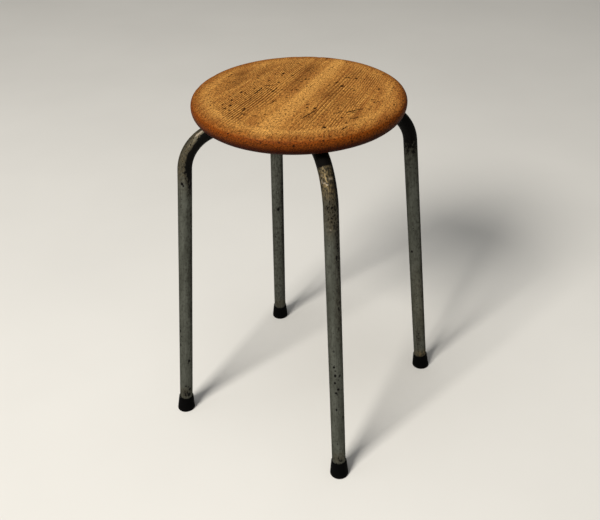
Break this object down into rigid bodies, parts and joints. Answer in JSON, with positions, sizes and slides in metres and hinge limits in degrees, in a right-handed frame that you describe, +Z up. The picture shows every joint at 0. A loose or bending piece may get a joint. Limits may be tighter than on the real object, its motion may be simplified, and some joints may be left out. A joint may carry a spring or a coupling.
{
  "type": "stacking stool",
  "caption": "Round wooden seat on four splayed bent steel tube legs with flared rubber feet; legs are welded to a steel plate screwed under the seat.",
  "frame": {"origin": "on the floor, under the centre of the seat", "axes": "+Z up; the four legs stand on -Y (front), +X (right), +Y (back) and -X (left)"},
  "size_m": [0.4266, 0.4266, 0.515],
  "materials": {
    "seat_wood": "worn wax",
    "plate_steel": "dull mill finish",
    "tube_steel": "dull, pitted",
    "weld_steel": "as welded",
    "screw_steel": "bright zinc, aged",
    "foot_rubber": "matt",
    "washer_steel": "plain"
  },
  "bodies": {
    "root": {"seat": "seat_wood", "mounting_plate": "plate_steel", "leg_tube_front": "tube_steel", "leg_tube_right": "tube_steel", "leg_tube_back": "tube_steel", "leg_tube_left": "tube_steel", "weld_beads": "weld_steel", "seat_screws": "screw_steel", "rubber_foot_front": "foot_rubber", "rubber_foot_right": "foot_rubber", "rubber_foot_back": "foot_rubber", "rubber_foot_left": "foot_rubber", "foot_washer_front": "washer_steel", "foot_washer_right": "washer_steel", "foot_washer_back": "washer_steel", "foot_washer_left": "washer_steel"}
  },
  "joints": []
}
